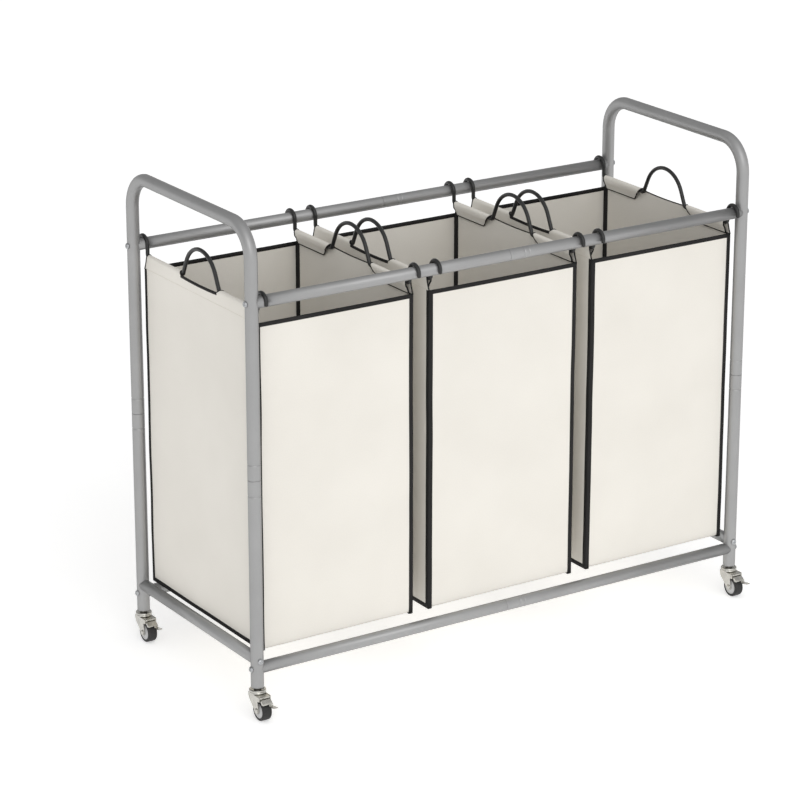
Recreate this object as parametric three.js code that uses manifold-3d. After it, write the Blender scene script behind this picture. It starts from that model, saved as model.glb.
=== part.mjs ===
// Rolling laundry cart: a tubular steel frame on four swivel casters, with three fabric
// bags that hang side by side from wire rods. Millimetres, +Z up. X runs along the cart,
// Y across it, and the front, where the brake pedals are, faces -Y.
import * as THREE from 'three';
import { mergeVertices } from 'three/addons/utils/BufferGeometryUtils.js';
import Module from 'manifold-3d';

// Overall frame
const HEIGHT = 850;
const LEG_SPACING_X = 988;
const LEG_SPACING_Y = 391.2;
const LEG_RADIUS = 11;
const RAIL_RADIUS = 10.2;
const TUBE_WALL = 1.2;
const HANDLE_BEND_RADIUS = 55;
const LEG_JOINT_Z = 417.5;
const LEG_END_Z = 54;
const TOP_RAIL_Z = 715.7;
const LONG_RAIL_Z = 86.9;
const SIDE_RAIL_Z = 101.9;
const SWAGE_LENGTH = 45;
const SWAGE_WALL = 1.2;
const GAP = 0.3;

// Bolts that hold the rails to the legs
const BOLT_RADIUS = 3;
const BOLT_HOLE_RADIUS = 3.4;
const BOLT_HEAD_RADIUS = 5.2;
const BOLT_HEAD_HEIGHT = 3.9;
const BOLT_REACH = 14;
const RAIL_PLUG_LENGTH = 18;

// Bags and their rods
const BAG_PITCH = 330.5;
const BAG_HALF_WIDTH = 150;
const BAG_HALF_DEPTH = 184.9;
const BAG_BOTTOM_Z = 109;
const BAG_PANEL_TOP_Z = 676.4;
const FABRIC = 1.6;
const SLEEVE_TOP_Z = 700.8;
const SLEEVE_HEIGHT = 26.4;
const SLEEVE_WIDTH = 11;
const SLEEVE_HALF_LENGTH = 172.5;
const NOTCH_HALF_WIDTH = 63;
const NOTCH_FLOOR_Z = 694;
const FLAP_CUT_HALF_WIDTH = 90;
const ROD_RADIUS = 3.5;
const ROD_X = 144.5;
const ROD_Z = 695.2;
const ROD_BEND = 6;
const ARCH_RADIUS = 53;
const ARCH_TOP_Z = 752.1;
const ARCH_SPLAY = (25 * Math.PI) / 180;
const HOOK_TIP_DROP = 4;

// Casters
const WHEEL_RADIUS = 18;
const WHEEL_WIDTH = 17;
const WHEEL_SIDES = 20;
const CASTER_TRAIL = 15;
const CAP_RADIUS = 14.5;
const CAP_TOP_Z = 51;
const CROWN_TOP_Z = 44.5;
const CROWN_THICKNESS = 3.6;
const FORK_INNER = 9.6;
const FORK_PLATE = 2;
const STEM_RADIUS = 4;
const STEM_TOP_Z = 80;
const STEM_COLLAR_RADIUS = 4.5;
const STEM_NUT_RADIUS = 6.8;
const AXLE_RADIUS = 2.5;
const BRAKE_PIVOT_Y = -21;
const BRAKE_PIVOT_Z = 38.5;
const BRAKE_REACH = 51;

// Facets
const TUBE_SIDES = 14;
const ROD_SIDES = 6;
const SMALL_SIDES = 12;

const HALF_X = LEG_SPACING_X / 2;
const HALF_Y = LEG_SPACING_Y / 2;
const HANDLE_Z = HEIGHT - LEG_RADIUS;
const HOOK_RADIUS = RAIL_RADIUS + ROD_RADIUS + GAP;
const FRONT_REACH = HALF_Y + BRAKE_REACH;
const REAR_REACH = HALF_Y + HOOK_RADIUS + ROD_RADIUS;
const CENTRE_SHIFT_Y = (FRONT_REACH - REAR_REACH) / 2;

const STEEL = { color: 0x9a9c9e, roughness: 0.38, metalness: 0.7 };
const BOLT_STEEL = { color: 0xb9bbbd, roughness: 0.3, metalness: 0.9 };
const NICKEL = { color: 0xb3b1a9, roughness: 0.28, metalness: 0.95 };
const TREAD = { color: 0x1c1c1d, roughness: 0.75, metalness: 0 };
const CANVAS = { color: 0xe6e1d5, roughness: 0.95, metalness: 0 };
const WIRE = { color: 0x17171a, roughness: 0.45, metalness: 0.2 };

const wasm = await Module();
wasm.setup();

const cart = new THREE.Group();
cart.position.y = CENTRE_SHIFT_Y;

// ---------- helpers ----------

function addPart(parent, name, geometry, look) {
  const mesh = new THREE.Mesh(geometry, new THREE.MeshStandardMaterial(look));
  mesh.name = name;
  parent.add(mesh);
  return mesh;
}

function toSolid(geometry) {
  geometry.deleteAttribute('normal');
  geometry.deleteAttribute('uv');
  const merged = mergeVertices(geometry, 1e-4);
  const mesh = new wasm.Mesh({
    numProp: 3,
    vertProperties: new Float32Array(merged.attributes.position.array),
    triVerts: new Uint32Array(merged.index.array),
  });
  return new wasm.Manifold(mesh);
}

function toGeometry(solid) {
  const mesh = solid.getMesh();
  const geometry = new THREE.BufferGeometry();
  geometry.setAttribute('position', new THREE.BufferAttribute(mesh.vertProperties, 3));
  geometry.setIndex(new THREE.BufferAttribute(mesh.triVerts, 1));
  geometry.computeVertexNormals();
  return geometry;
}

function joinAll(solids) {
  return solids.reduce((whole, piece) => whole.add(piece));
}

// A turned piece about +Z. The profile is a list of [radius, z], anticlockwise.
function turned(profile, sides, startAngle = 0) {
  const points = profile.map(([radius, z]) => new THREE.Vector2(radius, z));
  const onAxis = profile[0][0] === 0 && profile[profile.length - 1][0] === 0;
  if (!onAxis) {
    points.push(points[0].clone());
  }
  const geometry = new THREE.LatheGeometry(points, sides, startAngle);
  return geometry.rotateX(Math.PI / 2);
}

function cylinder(radius, zLow, zHigh, sides = SMALL_SIDES) {
  return turned([[0, zLow], [radius, zLow], [radius, zHigh], [0, zHigh]], sides);
}

const alongX = (geometry) => geometry.rotateY(Math.PI / 2);
const alongMinusX = (geometry) => geometry.rotateY(-Math.PI / 2);
const alongY = (geometry) => geometry.rotateX(-Math.PI / 2);

function box(low, high) {
  const size = high.map((value, axis) => value - low[axis]);
  const geometry = new THREE.BoxGeometry(...size);
  return toSolid(geometry.translate(...low.map((value, axis) => value + size[axis] / 2)));
}

// A flat outline in the Y-Z plane, given thickness from xLow to xHigh.
function plateAlongX(shape, xLow, xHigh, curveSegments = 6) {
  const geometry = new THREE.ExtrudeGeometry(shape, {
    depth: xHigh - xLow,
    bevelEnabled: false,
    curveSegments,
  });
  const basis = new THREE.Matrix4().makeBasis(
    new THREE.Vector3(0, 1, 0),
    new THREE.Vector3(0, 0, 1),
    new THREE.Vector3(1, 0, 0),
  );
  return geometry.applyMatrix4(basis).translate(xLow, 0, 0);
}

// A path in the Y-Z plane made of straight runs and arcs, with stations only where needed.
class BentPath extends THREE.Curve {
  constructor(y, z, directionY, directionZ) {
    super();
    this.points = [new THREE.Vector3(0, y, z)];
    this.tangents = [new THREE.Vector3(0, directionY, directionZ).normalize()];
  }

  lineTo(y, z) {
    const end = new THREE.Vector3(0, y, z);
    const last = this.points[this.points.length - 1];
    this.tangents.push(end.clone().sub(last).normalize());
    this.points.push(end);
    return this;
  }

  arc(centreY, centreZ, radiusY, radiusZ, from, to, steps) {
    const turn = Math.sign(to - from);
    for (let step = 1; step <= steps; step += 1) {
      const angle = from + ((to - from) * step) / steps;
      const y = centreY + radiusY * Math.cos(angle);
      const z = centreZ + radiusZ * Math.sin(angle);
      const alongArcY = -turn * radiusY * Math.sin(angle);
      const alongArcZ = turn * radiusZ * Math.cos(angle);
      this.points.push(new THREE.Vector3(0, y, z));
      this.tangents.push(new THREE.Vector3(0, alongArcY, alongArcZ).normalize());
    }
    return this;
  }

  get steps() {
    return this.points.length - 1;
  }

  getPoint(t, target = new THREE.Vector3()) {
    const place = t * this.steps;
    const index = Math.min(Math.floor(place + 1e-9), this.steps - 1);
    return target.lerpVectors(this.points[index], this.points[index + 1], place - index);
  }

  getPointAt(u, target) {
    return this.getPoint(u, target);
  }

  getTangentAt(u, target = new THREE.Vector3()) {
    return target.copy(this.tangents[Math.round(u * this.steps)]);
  }
}

function ringShape(outer, inner) {
  const shape = new THREE.Shape().absarc(0, 0, outer, 0, 2 * Math.PI, false);
  if (inner > 0) {
    shape.holes.push(new THREE.Path().absarc(0, 0, inner, 0, 2 * Math.PI, true));
  }
  return shape;
}

function sweep(path, outer, inner, sides) {
  return new THREE.ExtrudeGeometry(ringShape(outer, inner), {
    steps: path.steps,
    extrudePath: path,
    curveSegments: sides / 2,
  });
}

// ---------- frame tubes ----------

const LEG_BORE = LEG_RADIUS - TUBE_WALL;
const RAIL_BORE = RAIL_RADIUS - TUBE_WALL;
const legCutter = () => toSolid(cylinder(LEG_RADIUS + GAP + 0.2, -60, 60, 24));

function boltHole(direction) {
  return toSolid(direction(cylinder(BOLT_HOLE_RADIUS, -20, 20, 8)));
}

// The bent upper tube: two uprights joined by the handle bar, with a bolt hole at each rail.
function handleTube() {
  const bend = HANDLE_BEND_RADIUS;
  const cornerY = HALF_Y - bend;
  const cornerZ = HANDLE_Z - bend;
  const path = new BentPath(-HALF_Y, LEG_JOINT_Z + GAP, 0, 1)
    .lineTo(-HALF_Y, cornerZ)
    .arc(-cornerY, cornerZ, bend, bend, Math.PI, Math.PI / 2, 6)
    .lineTo(cornerY, HANDLE_Z)
    .arc(cornerY, cornerZ, bend, bend, Math.PI / 2, 0, 6)
    .lineTo(HALF_Y, LEG_JOINT_Z + GAP);
  let tube = toSolid(sweep(path, LEG_RADIUS, LEG_BORE, TUBE_SIDES));
  for (const side of [-1, 1]) {
    tube = tube.subtract(boltHole(alongX).translate(0, side * HALF_Y, TOP_RAIL_Z));
  }
  return toGeometry(tube);
}

// The lower leg: its swaged top slides into the upper tube, and its foot is plugged for the
// caster stem. It stands at the leg's axis with its front bolt hole facing -Y.
function lowerLeg() {
  const swage = LEG_BORE - GAP;
  const stemBore = STEM_RADIUS + 0.4;
  const plugTop = LEG_END_Z + 16;
  const leg = toSolid(turned([
    [stemBore, LEG_END_Z],
    [LEG_RADIUS, LEG_END_Z],
    [LEG_RADIUS, LEG_JOINT_Z],
    [swage, LEG_JOINT_Z],
    [swage, LEG_JOINT_Z + SWAGE_LENGTH],
    [swage - SWAGE_WALL, LEG_JOINT_Z + SWAGE_LENGTH],
    [swage - SWAGE_WALL, plugTop],
    [stemBore, plugTop],
  ], TUBE_SIDES));
  const longHole = boltHole(alongX).translate(0, 0, LONG_RAIL_Z);
  const sideHole = boltHole(alongY).translate(0, 0, SIDE_RAIL_Z);
  return toGeometry(leg.subtract(longHole).subtract(sideHole));
}

// One half of a long rail, lying along X with the centre joint at x = 0. The plain half ends
// in a swaged spigot, and the socket half takes it. The far end is coped to fit the leg.
function railHalf(spigot) {
  const far = HALF_X - 2;
  const plug = far - RAIL_PLUG_LENGTH;
  const swage = RAIL_BORE - GAP;
  const hollow = spigot
    ? [
      [RAIL_BORE, plug],
      [RAIL_BORE, 10],
      [swage - SWAGE_WALL, 0],
      [swage - SWAGE_WALL, -SWAGE_LENGTH],
      [swage, -SWAGE_LENGTH],
      [swage, GAP],
      [RAIL_RADIUS, GAP],
    ]
    : [
      [RAIL_BORE, plug],
      [RAIL_BORE, GAP / 2],
      [RAIL_RADIUS, GAP / 2],
    ];
  const profile = [[RAIL_RADIUS, far], [BOLT_HOLE_RADIUS, far], [BOLT_HOLE_RADIUS, plug], ...hollow];
  const tube = toSolid(alongX(turned(profile, TUBE_SIDES)));
  return toGeometry(tube.subtract(legCutter().translate(HALF_X, 0, 0)));
}

// A side rail, lying along Y, coped at both ends.
function sideRail() {
  const far = HALF_Y - 2;
  const plug = far - RAIL_PLUG_LENGTH;
  const profile = [
    [RAIL_RADIUS, far],
    [BOLT_HOLE_RADIUS, far],
    [BOLT_HOLE_RADIUS, plug],
    [RAIL_BORE, plug],
    [RAIL_BORE, -plug],
    [BOLT_HOLE_RADIUS, -plug],
    [BOLT_HOLE_RADIUS, -far],
    [RAIL_RADIUS, -far],
  ];
  let tube = toSolid(alongY(turned(profile, TUBE_SIDES)));
  for (const side of [-1, 1]) {
    tube = tube.subtract(legCutter().translate(0, side * HALF_Y, 0));
  }
  return toGeometry(tube);
}

// A domed bolt along +Z: the head's seat is at z = 0, and the shank runs down the -Z side.
function bolt() {
  const length = GAP + 2 * LEG_RADIUS + BOLT_REACH;
  return turned([
    [0, -length],
    [BOLT_RADIUS, -length],
    [BOLT_RADIUS, 0],
    [BOLT_HEAD_RADIUS, 0],
    [BOLT_HEAD_RADIUS, BOLT_HEAD_HEIGHT * 0.35],
    [BOLT_HEAD_RADIUS * 0.72, BOLT_HEAD_HEIGHT * 0.85],
    [0, BOLT_HEAD_HEIGHT],
  ], 10);
}

const ENDS = [['left', -1], ['right', 1]];
const SIDES = [['front', -1], ['rear', 1]];

for (const [endName, end] of ENDS) {
  const handle = addPart(cart, `handle_tube_${endName}`, handleTube(), STEEL);
  handle.position.x = end * HALF_X;

  const rail = addPart(cart, `side_rail_${endName}`, sideRail(), STEEL);
  rail.position.set(end * HALF_X, 0, SIDE_RAIL_Z);
}

for (const [sideName, side] of SIDES) {
  for (const [endName, end] of ENDS) {
    const corner = `${sideName}_${endName}`;
    const leg = addPart(cart, `lower_leg_${corner}`, lowerLeg(), STEEL);
    leg.position.set(end * HALF_X, side * HALF_Y, 0);

    for (const [railName, z] of [['top_rail', TOP_RAIL_Z], ['bottom_rail', LONG_RAIL_Z]]) {
      const half = addPart(cart, `${railName}_${corner}`, railHalf(end < 0), STEEL);
      half.position.set(0, side * HALF_Y, z);
      half.rotation.z = end < 0 ? Math.PI : 0;
    }

    const seat = LEG_RADIUS + GAP;
    const turnX = end > 0 ? alongX : alongMinusX;
    for (const [boltName, z] of [['top_bolt', TOP_RAIL_Z], ['long_bolt', LONG_RAIL_Z]]) {
      const screw = addPart(cart, `${boltName}_${corner}`, turnX(bolt()), BOLT_STEEL);
      screw.position.set(end * (HALF_X + seat), side * HALF_Y, z);
    }
    const sideBolt = addPart(cart, `side_bolt_${corner}`, alongY(bolt()), BOLT_STEEL);
    sideBolt.rotation.z = side > 0 ? 0 : Math.PI;
    sideBolt.position.set(end * HALF_X, side * (HALF_Y + seat), SIDE_RAIL_Z);
  }
}

// ---------- casters ----------

// The threaded stem with its nut, and the riveted collar that the fork turns on.
function stem() {
  return turned([
    [0, 37.9],
    [7, 37.9],
    [7, 39.9],
    [STEM_COLLAR_RADIUS, CROWN_TOP_Z - CROWN_THICKNESS - GAP],
    [STEM_COLLAR_RADIUS, 49.1],
    [STEM_NUT_RADIUS, 49.1],
    [STEM_NUT_RADIUS, LEG_END_Z - GAP],
    [STEM_RADIUS, LEG_END_Z - GAP],
    [STEM_RADIUS, STEM_TOP_Z],
    [0, STEM_TOP_Z],
  ], SMALL_SIDES);
}

// The side plate of the fork, from the crown down to the axle.
function forkPlateShape() {
  const boss = 6;
  const shape = new THREE.Shape();
  shape.moveTo(12.5, CROWN_TOP_Z - 0.4);
  shape.lineTo(-24.2, CROWN_TOP_Z - 0.4);
  shape.lineTo(-24.2, 36.1);
  shape.lineTo(-18.5, 36.1);
  shape.lineTo(-CASTER_TRAIL - boss, WHEEL_RADIUS + 1);
  shape.absarc(-CASTER_TRAIL, WHEEL_RADIUS, boss, Math.PI, 2 * Math.PI - 0.35, false);
  shape.lineTo(10.5, 35.5);
  shape.closePath();
  return shape;
}

function fork() {
  const outer = FORK_INNER + FORK_PLATE;
  const crownLow = CROWN_TOP_Z - CROWN_THICKNESS;
  const plates = [-outer, FORK_INNER].map(
    (xLow) => toSolid(plateAlongX(forkPlateShape(), xLow, xLow + FORK_PLATE)),
  );
  const crown = box([-outer, -24.2, crownLow], [outer, 12.5, CROWN_TOP_Z - 0.4]);
  const cap = toSolid(turned([
    [0, crownLow + 1],
    [CAP_RADIUS - 1.5, crownLow + 1],
    [CAP_RADIUS, CROWN_TOP_Z + 1.5],
    [CAP_RADIUS - 1.2, CAP_TOP_Z],
    [CAP_RADIUS - 4.5, CAP_TOP_Z],
    [CAP_RADIUS - 6, CAP_TOP_Z - 3],
    [0, CAP_TOP_Z - 3],
  ], 16));
  const collarBore = toSolid(cylinder(STEM_COLLAR_RADIUS + 0.4, 30, 60));
  const bores = [
    [AXLE_RADIUS + 0.4, -CASTER_TRAIL, WHEEL_RADIUS],
    [1.6, BRAKE_PIVOT_Y, BRAKE_PIVOT_Z],
  ].map(([radius, y, z]) => toSolid(alongX(cylinder(radius, -20, 20, 8))).translate(0, y, z));
  let whole = joinAll([...plates, crown, cap]).subtract(collarBore);
  for (const bore of bores) {
    whole = whole.subtract(bore);
  }
  return toGeometry(whole);
}

// The wheel, turned about X, standing on one flat of its faceted tread.
function wheel() {
  const half = WHEEL_WIDTH / 2;
  const flat = Math.PI / WHEEL_SIDES;
  const radius = WHEEL_RADIUS / Math.cos(flat);
  const bore = AXLE_RADIUS + 0.4;
  return alongX(turned([
    [bore, -half + 0.4],
    [5, -half + 0.4],
    [12.5, -half + 2],
    [13.5, -half],
    [radius - 2, -half],
    [radius, -half + 2],
    [radius, half - 2],
    [radius - 2, half],
    [13.5, half],
    [12.5, half - 2],
    [5, half - 0.4],
    [bore, half - 0.4],
  ], WHEEL_SIDES, flat));
}

// The axle: a domed head on the -X side, a nut and the bolt's end on the +X side.
function axle() {
  const seat = FORK_INNER + FORK_PLATE + GAP;
  return alongX(turned([
    [0, -seat - 2.2],
    [2.6, -seat - 2.2],
    [4.4, -seat - 1],
    [4.4, -seat],
    [AXLE_RADIUS, -seat],
    [AXLE_RADIUS, seat],
    [4.2, seat],
    [4.2, seat + 3.2],
    [AXLE_RADIUS - 0.3, seat + 3.2],
    [AXLE_RADIUS - 0.3, seat + 5],
    [0, seat + 5],
  ], 10));
}

// The brake lever: a pivot barrel in the fork's ears, a broad pedal, and a narrow toe tab.
function brakeLever() {
  const pedal = new THREE.Shape();
  pedal.moveTo(BRAKE_PIVOT_Y + 1.3, BRAKE_PIVOT_Z + 1.2);
  pedal.lineTo(BRAKE_PIVOT_Y + 1.3, BRAKE_PIVOT_Z - 1.2);
  pedal.lineTo(-27, 34.7);
  pedal.lineTo(-28.5, 32.1);
  pedal.lineTo(-33.8, 32.7);
  pedal.lineTo(-33.8, 35.2);
  pedal.lineTo(-25.6, 40);
  pedal.closePath();
  const tab = new THREE.Shape();
  tab.moveTo(-32.8, 34.8);
  tab.lineTo(-32.8, 32.8);
  tab.lineTo(-33.9, 28);
  tab.lineTo(-BRAKE_REACH, 31.4);
  tab.lineTo(-BRAKE_REACH, 33.6);
  tab.lineTo(-35.6, 30.8);
  tab.lineTo(-34.8, 34.8);
  tab.closePath();
  const inside = FORK_INNER - 0.4;
  return toGeometry(joinAll([
    toSolid(plateAlongX(pedal, -inside, inside)),
    toSolid(plateAlongX(tab, 1.5, inside)),
    toSolid(alongX(cylinder(1.2, -FORK_INNER - 1.6, FORK_INNER + 1.6, 8)))
      .translate(0, BRAKE_PIVOT_Y, BRAKE_PIVOT_Z),
  ]));
}

for (const [sideName, side] of SIDES) {
  for (const [endName, end] of ENDS) {
    const corner = `${sideName}_${endName}`;
    const caster = new THREE.Group();
    caster.position.set(end * HALF_X, side * HALF_Y, 0);
    addPart(caster, `caster_stem_${corner}`, stem(), NICKEL);
    addPart(caster, `caster_fork_${corner}`, fork(), NICKEL);
    addPart(caster, `brake_lever_${corner}`, brakeLever(), NICKEL);
    for (const [name, shape, look] of [['wheel', wheel, TREAD], ['wheel_axle', axle, NICKEL]]) {
      const part = addPart(caster, `${name}_${corner}`, shape(), look);
      part.position.set(0, -CASTER_TRAIL, WHEEL_RADIUS);
    }
    cart.add(caster);
  }
}

// ---------- bags ----------

// The shallow notch that bares the rod's arch in the middle of each sleeve.
function notchShape() {
  const shape = new THREE.Shape();
  const lip = NOTCH_HALF_WIDTH - 3;
  shape.moveTo(-NOTCH_HALF_WIDTH, SLEEVE_TOP_Z + 5);
  shape.lineTo(-NOTCH_HALF_WIDTH, SLEEVE_TOP_Z - 1);
  shape.lineTo(-lip, NOTCH_FLOOR_Z + 4);
  shape.quadraticCurveTo(0, NOTCH_FLOOR_Z - 4, lip, NOTCH_FLOOR_Z + 4);
  shape.lineTo(NOTCH_HALF_WIDTH, SLEEVE_TOP_Z - 1);
  shape.lineTo(NOTCH_HALF_WIDTH, SLEEVE_TOP_Z + 5);
  shape.closePath();
  return shape;
}

// The inner flap is cut away below the notch, wider towards its hem.
function flapCutShape(hemZ) {
  const shape = new THREE.Shape();
  shape.moveTo(-NOTCH_HALF_WIDTH, SLEEVE_TOP_Z + 5);
  shape.lineTo(-NOTCH_HALF_WIDTH, SLEEVE_TOP_Z - 3);
  shape.lineTo(-FLAP_CUT_HALF_WIDTH, hemZ);
  shape.lineTo(FLAP_CUT_HALF_WIDTH, hemZ);
  shape.lineTo(NOTCH_HALF_WIDTH, SLEEVE_TOP_Z - 3);
  shape.lineTo(NOTCH_HALF_WIDTH, SLEEVE_TOP_Z + 5);
  shape.closePath();
  return shape;
}

// An open-topped bag. Each side panel folds over at the top into a sleeve for its rod.
function bagFabric() {
  const w = BAG_HALF_WIDTH;
  const d = BAG_HALF_DEPTH;
  const sleeveLow = SLEEVE_TOP_Z - SLEEVE_HEIGHT;
  const shell = box([-w, -d, BAG_BOTTOM_Z], [w, d, BAG_PANEL_TOP_Z]).subtract(
    box([-w + FABRIC, -d + FABRIC, BAG_BOTTOM_Z + FABRIC], [w - FABRIC, d - FABRIC, HEIGHT]),
  );
  const sleeves = ENDS.map(([, end]) => {
    const outerX = end * w;
    const innerX = end * (w - SLEEVE_WIDTH);
    const lowX = Math.min(outerX, innerX);
    const highX = Math.max(outerX, innerX);
    const half = SLEEVE_HALF_LENGTH;
    const skin = box([lowX, -half, sleeveLow], [highX, half, SLEEVE_TOP_Z]);
    const tunnel = box(
      [lowX + FABRIC, -half - 1, sleeveLow + FABRIC],
      [highX - FABRIC, half + 1, SLEEVE_TOP_Z - FABRIC],
    );
    const notch = toSolid(plateAlongX(notchShape(), lowX - 1, highX + 1, 8));
    const innerLow = end > 0 ? lowX - 1 : lowX + FABRIC;
    const innerHigh = end > 0 ? highX - FABRIC : highX + 1;
    const flapCut = toSolid(plateAlongX(flapCutShape(sleeveLow + FABRIC), innerLow, innerHigh));
    return skin.subtract(tunnel).subtract(notch).subtract(flapCut);
  });
  return toGeometry(joinAll([shell, ...sleeves]));
}

// One wire rod: a hook over each top rail, straight runs in the sleeve, and the arch between,
// which is a round arc on two splayed legs.
function rod() {
  const riserY = HALF_Y - HOOK_RADIUS;
  const tipY = HALF_Y + HOOK_RADIUS;
  const quarter = Math.PI / 2;
  const bendZ = ROD_Z + ROD_BEND;
  const archZ = ARCH_TOP_Z - ARCH_RADIUS;
  const shoulderY = ARCH_RADIUS * Math.cos(ARCH_SPLAY);
  const shoulderZ = archZ + ARCH_RADIUS * Math.sin(ARCH_SPLAY);
  const footY = shoulderY + (shoulderZ - ROD_Z) * Math.tan(ARCH_SPLAY);
  const footTurn = quarter - ARCH_SPLAY;
  const runEnd = footY + ROD_BEND * Math.tan(footTurn / 2);
  const path = new BentPath(-tipY, TOP_RAIL_Z - HOOK_TIP_DROP, 0, 1)
    .lineTo(-tipY, TOP_RAIL_Z)
    .arc(-HALF_Y, TOP_RAIL_Z, HOOK_RADIUS, HOOK_RADIUS, 2 * quarter, 0, 6)
    .lineTo(-riserY, bendZ)
    .arc(-riserY + ROD_BEND, bendZ, ROD_BEND, ROD_BEND, 2 * quarter, 3 * quarter, 2)
    .lineTo(-runEnd, ROD_Z)
    .arc(-runEnd, bendZ, ROD_BEND, ROD_BEND, -quarter, footTurn - quarter, 2)
    .lineTo(-shoulderY, shoulderZ)
    .arc(0, archZ, ARCH_RADIUS, ARCH_RADIUS, 2 * quarter - ARCH_SPLAY, ARCH_SPLAY, 8)
    .lineTo(runEnd - ROD_BEND * Math.sin(footTurn), bendZ - ROD_BEND * Math.cos(footTurn))
    .arc(runEnd, bendZ, ROD_BEND, ROD_BEND, 3 * quarter - footTurn, 3 * quarter, 2)
    .lineTo(riserY - ROD_BEND, ROD_Z)
    .arc(riserY - ROD_BEND, bendZ, ROD_BEND, ROD_BEND, -quarter, 0, 2)
    .lineTo(riserY, TOP_RAIL_Z)
    .arc(HALF_Y, TOP_RAIL_Z, HOOK_RADIUS, HOOK_RADIUS, 2 * quarter, 0, 6)
    .lineTo(tipY, TOP_RAIL_Z - HOOK_TIP_DROP);
  return sweep(path, ROD_RADIUS, 0, ROD_SIDES);
}

for (const [index, bagName] of ['bag_left', 'bag_middle', 'bag_right'].entries()) {
  const bag = new THREE.Group();
  bag.position.x = (index - 1) * BAG_PITCH;
  addPart(bag, `${bagName}_fabric`, bagFabric(), CANVAS);
  for (const [endName, end] of ENDS) {
    const wire = addPart(bag, `${bagName}_rod_${endName}`, rod(), WIRE);
    wire.position.x = end * ROD_X;
  }
  cart.add(bag);
}

export default cart;
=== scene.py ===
import math

import bpy
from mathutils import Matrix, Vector, noise
from mathutils.kdtree import KDTree


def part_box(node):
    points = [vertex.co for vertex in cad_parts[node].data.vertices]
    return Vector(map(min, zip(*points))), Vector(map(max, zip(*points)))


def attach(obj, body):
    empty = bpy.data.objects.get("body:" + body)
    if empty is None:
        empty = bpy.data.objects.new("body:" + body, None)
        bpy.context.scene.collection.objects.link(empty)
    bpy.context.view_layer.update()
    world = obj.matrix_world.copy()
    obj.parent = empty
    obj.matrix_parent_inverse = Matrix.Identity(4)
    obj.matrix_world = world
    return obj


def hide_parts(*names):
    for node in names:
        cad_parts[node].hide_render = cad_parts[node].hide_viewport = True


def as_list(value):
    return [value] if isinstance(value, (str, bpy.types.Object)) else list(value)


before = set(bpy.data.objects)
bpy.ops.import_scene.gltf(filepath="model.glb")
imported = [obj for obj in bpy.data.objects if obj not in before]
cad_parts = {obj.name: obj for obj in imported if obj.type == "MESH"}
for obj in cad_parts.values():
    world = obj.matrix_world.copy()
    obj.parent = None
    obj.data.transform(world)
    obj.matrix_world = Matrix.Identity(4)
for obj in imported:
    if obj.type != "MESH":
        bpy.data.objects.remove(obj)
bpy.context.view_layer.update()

# ---------- sizes, in metres, and places read from the frame ----------

ENDS = (("left", -1), ("right", 1))
SIDES = (("front", -1), ("rear", 1))
X, Y, Z = Vector((1, 0, 0)), Vector((0, 1, 0)), Vector((0, 0, 1))

LEG_RADIUS = 0.011
RAIL_RADIUS = 0.0102
HANDLE_BEND = 0.055
RING_STEP = 0.027
RING_DEPTH = 0.0008
RING_HALF_WIDTH = 0.0014

ROD_RADIUS = 0.0035
ROD_BEND = 0.006
ARCH_RADIUS = 0.053
ARCH_SPLAY = math.radians(25)
HOOK_TIP_DROP = 0.004

WHEEL_RADIUS = 0.018
WHEEL_HALF_WIDTH = 0.0085
FORK_INNER = 0.0096
FORK_PLATE = 0.002

CLOTH_THICKNESS = 0.0008
TAPE_THICKNESS = 0.0008
TAPE_FRONT_WIDTH = 0.0072
TAPE_SIDE_WIDTH = 0.0074
TAPE_INSIDE_WIDTH = 0.0100
TOP_TAPE_HEIGHT = 0.0066
CELL = 0.0105


def middle(node):
    low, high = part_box(node)
    return (low + high) / 2


FRONT_LEG = middle("lower_leg_front_left")
REAR_LEG = middle("lower_leg_rear_right")
CENTRE_Y = (FRONT_LEG.y + REAR_LEG.y) / 2
HALF_X = REAR_LEG.x
HALF_Y = REAR_LEG.y - CENTRE_Y
LEG_BOTTOM_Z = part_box("lower_leg_front_left")[0].z
LEG_JOINT_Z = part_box("handle_tube_left")[0].z
HANDLE_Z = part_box("handle_tube_left")[1].z - LEG_RADIUS
TOP_RAIL_Z = middle("top_rail_front_left").z
LONG_RAIL_Z = middle("bottom_rail_front_left").z
SIDE_RAIL_Z = middle("side_rail_left").z
AXLE_Y = middle("wheel_front_left").y - FRONT_LEG.y
TAB_TIP_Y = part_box("brake_lever_front_left")[0].y - FRONT_LEG.y
CAP_TOP_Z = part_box("caster_fork_front_left")[1].z
ROD_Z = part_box("bag_middle_rod_right")[0].z + ROD_RADIUS
ROD_X = middle("bag_middle_rod_right").x
ARCH_TOP_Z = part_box("bag_middle_rod_right")[1].z - ROD_RADIUS
FABRIC_LOW, FABRIC_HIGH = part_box("bag_middle_fabric")


def corners():
    """The name, X sign, Y sign and place on the floor of each leg."""
    for side_name, side in SIDES:
        for end_name, end in ENDS:
            place = Vector((end * HALF_X, CENTRE_Y + side * HALF_Y, 0))
            yield f"{side_name}_{end_name}", end, side, place


# ---------- materials ----------

CLOTH_UV = "cloth"


def node_material(name):
    """A new material with its node tree and its Principled shader."""
    material = bpy.data.materials.new(name)
    material.use_nodes = True
    tree = material.node_tree
    return material, tree, tree.nodes["Principled BSDF"]


def math_node(tree, operation, first, second=None):
    """A math node. Each operand is a number or the output of another node."""
    node = tree.nodes.new("ShaderNodeMath")
    node.operation = operation
    for socket, value in zip(node.inputs, (first, second)):
        if value is None:
            continue
        if isinstance(value, (int, float)):
            socket.default_value = value
        else:
            tree.links.new(value, socket)
    return node.outputs["Value"]


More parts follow.
